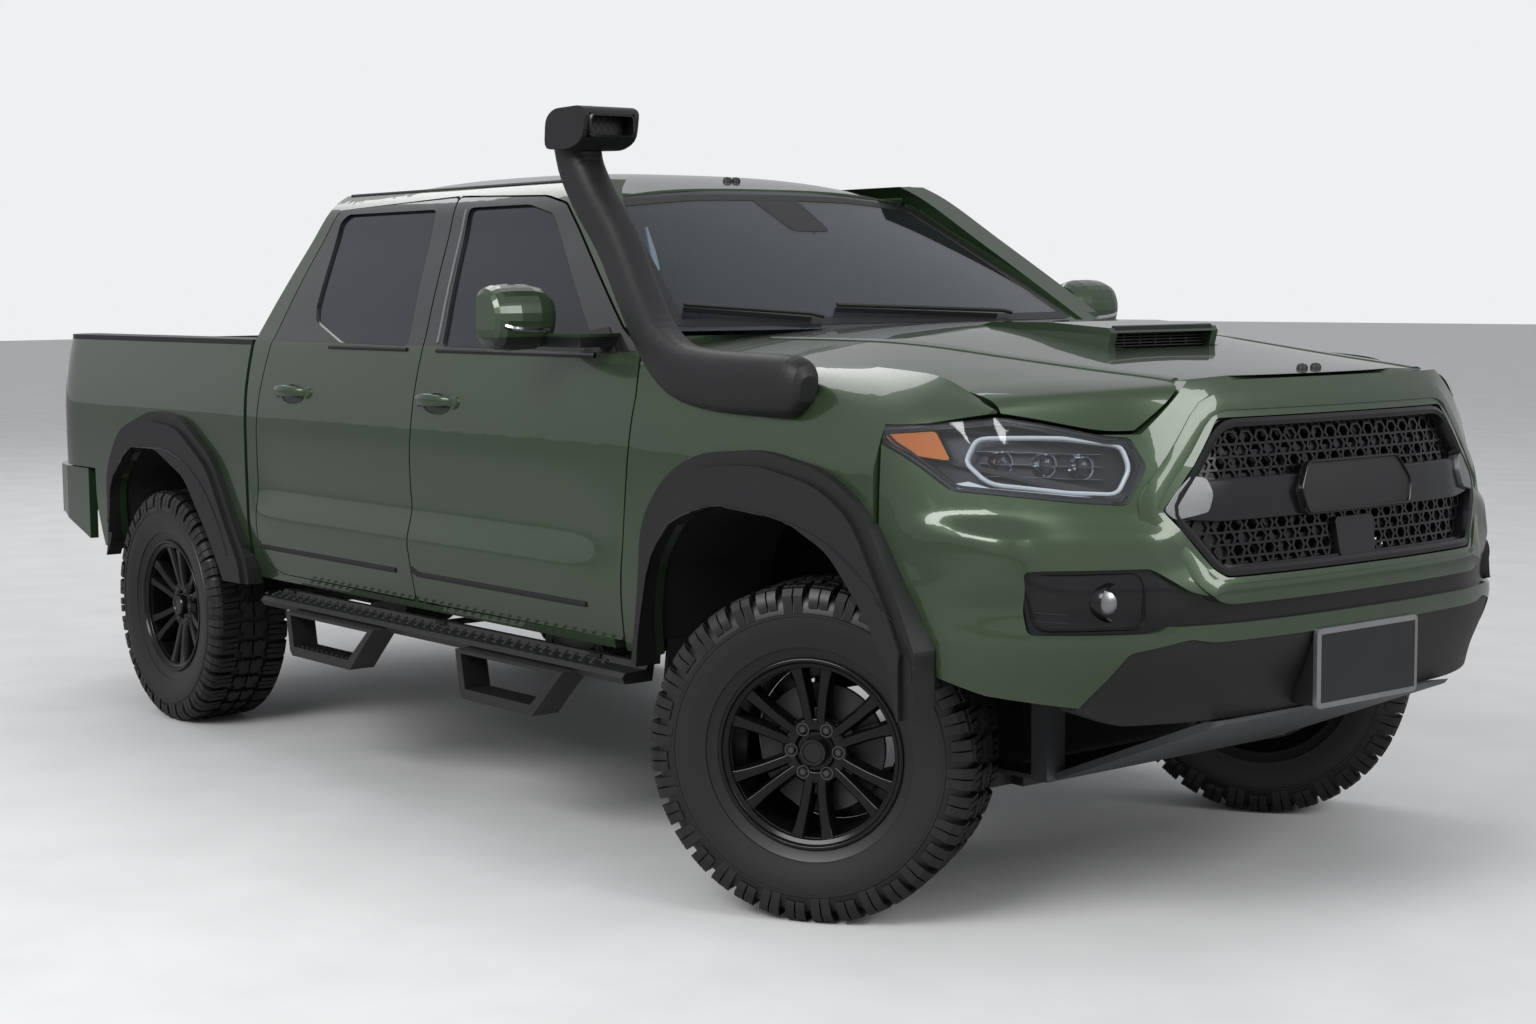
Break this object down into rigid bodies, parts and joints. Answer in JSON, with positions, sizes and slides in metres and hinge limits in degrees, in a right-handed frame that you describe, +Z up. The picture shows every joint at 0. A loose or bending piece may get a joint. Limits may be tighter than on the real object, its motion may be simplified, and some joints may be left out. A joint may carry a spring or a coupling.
{
  "type": "lifted double-cab off-road pickup",
  "caption": "Raised four-door off-road pickup with a short load bed, wide arch flares, raised air intake, side steps and steered front wheels.",
  "frame": {"origin": "on the ground below the centre of the bounding box", "axes": "+X forward to the nose, +Y to the vehicle's left, +Z up"},
  "size_m": [5.392, 2.256, 1.9038],
  "materials": {
    "body_paint": "gloss metallic",
    "tinted_glass": "tinted",
    "liner_black": "matte",
    "flap_rubber": "matte",
    "trim_black": "fine grained",
    "grille_black": "gloss",
    "lamp_clear": "clear",
    "lamp_housing": "gloss",
    "skid_grey": "satin",
    "cast_metal": "cast",
    "bed_liner": "textured",
    "lamp_red": "gloss",
    "step_black": "powder coat",
    "cabin_plastic": "grained",
    "seat_cloth": "woven",
    "exhaust_steel": "dull",
    "tank_plastic": "matte",
    "plate_white": "satin",
    "mirror_shell": "gloss metallic",
    "tyre_rubber": "matte rubber",
    "rim_black": "gloss black",
    "chassis_black": "satin"
  },
  "bodies": {
    "body": {"ladder_frame": "chassis_black", "frame_crossmembers": "chassis_black", "frame_brackets": "chassis_black", "cab_body": "body_paint", "cab_glass": "tinted_glass", "front_wings": "body_paint", "wheel_liners": "liner_black", "mud_flaps": "flap_rubber", "front_fascia": "body_paint", "front_valance": "trim_black", "grille": "grille_black", "front_lamps": "lamp_clear", "front_lamp_housings": "lamp_housing", "skid_plate": "skid_grey", "engine": "cast_metal", "gearbox": "cast_metal", "air_intake": "trim_black", "load_bed": "bed_liner", "bed_sides": "body_paint", "bed_rails": "trim_black", "rear_bumper": "body_paint", "tow_hitch": "chassis_black", "tail_lamps": "lamp_red", "arch_flares": "trim_black", "side_steps": "step_black", "dashboard": "cabin_plastic", "seats": "seat_cloth", "rear_axle": "chassis_black", "front_suspension": "cast_metal", "exhaust": "exhaust_steel", "fuel_tank": "tank_plastic", "front_number_plate": "plate_white"},
    "front_door_left": {"front_door_left": "body_paint", "front_door_glass_left": "tinted_glass", "mirror_left": "mirror_shell"},
    "rear_door_left": {"rear_door_left": "body_paint", "rear_door_glass_left": "tinted_glass"},
    "knuckle_left": {"steering_knuckle_left": "cast_metal"},
    "wheel_front_left": {"tyre_front_left": "tyre_rubber", "rim_front_left": "rim_black"},
    "wheel_rear_left": {"tyre_rear_left": "tyre_rubber", "rim_rear_left": "rim_black"},
    "front_door_right": {"front_door_right": "body_paint", "front_door_glass_right": "tinted_glass", "mirror_right": "mirror_shell"},
    "rear_door_right": {"rear_door_right": "body_paint", "rear_door_glass_right": "tinted_glass"},
    "knuckle_right": {"steering_knuckle_right": "cast_metal"},
    "wheel_front_right": {"tyre_front_right": "tyre_rubber", "rim_front_right": "rim_black"},
    "wheel_rear_right": {"tyre_rear_right": "tyre_rubber", "rim_rear_right": "rim_black"},
    "bonnet": {"bonnet": "body_paint"},
    "tailgate": {"tailgate": "body_paint"}
  },
  "joints": [
    {"name": "steer_left", "type": "hinge", "parent": "body", "child": "knuckle_left", "pos_m": [1.771, 0.784, 0.388], "axis": [0, 0, 1], "range_deg": [-67, 3]},
    {"name": "front_wheel_left_spin", "type": "hinge", "parent": "knuckle_left", "child": "wheel_front_left", "pos_m": [1.7498, 0.81792, 0.388], "axis": [-0.5299, 0.848, 0], "continuous": true},
    {"name": "rear_wheel_left_spin", "type": "hinge", "parent": "body", "child": "wheel_rear_left", "pos_m": [-1.465, 0.824, 0.388], "axis": [0, 1, 0], "continuous": true},
    {"name": "front_door_left_hinge", "type": "hinge", "parent": "body", "child": "front_door_left", "pos_m": [1.186, 0.934, 1], "axis": [0, 0, -1], "range_deg": [0, 65]},
    {"name": "rear_door_left_hinge", "type": "hinge", "parent": "body", "child": "rear_door_left", "pos_m": [0.131, 0.934, 1], "axis": [0, 0, -1], "range_deg": [0, 65]},
    {"name": "steer_right", "type": "hinge", "parent": "body", "child": "knuckle_right", "pos_m": [1.771, -0.784, 0.388], "axis": [0, 0, 1], "range_deg": [-67, 3]},
    {"name": "front_wheel_right_spin", "type": "hinge", "parent": "knuckle_right", "child": "wheel_front_right", "pos_m": [1.7922, -0.81792, 0.388], "axis": [-0.5299, 0.848, 0], "continuous": true},
    {"name": "rear_wheel_right_spin", "type": "hinge", "parent": "body", "child": "wheel_rear_right", "pos_m": [-1.465, -0.824, 0.388], "axis": [0, 1, 0], "continuous": true},
    {"name": "front_door_right_hinge", "type": "hinge", "parent": "body", "child": "front_door_right", "pos_m": [1.186, -0.934, 1], "axis": [0, 0, 1], "range_deg": [0, 65]},
    {"name": "rear_door_right_hinge", "type": "hinge", "parent": "body", "child": "rear_door_right", "pos_m": [0.131, -0.934, 1], "axis": [0, 0, 1], "range_deg": [0, 65]},
    {"name": "bonnet_hinge", "type": "hinge", "parent": "body", "child": "bonnet", "pos_m": [1.19, 0, 1.335], "axis": [0, -1, 0], "range_deg": [0, 50]},
    {"name": "tailgate_hinge", "type": "hinge", "parent": "body", "child": "tailgate", "pos_m": [-2.494, 0, 0.782], "axis": [0, -1, 0], "range_deg": [0, 90]}
  ],
  "couplings": [
    {"joint": "steer_right", "follows": "steer_left", "ratio": 1}
  ]
}
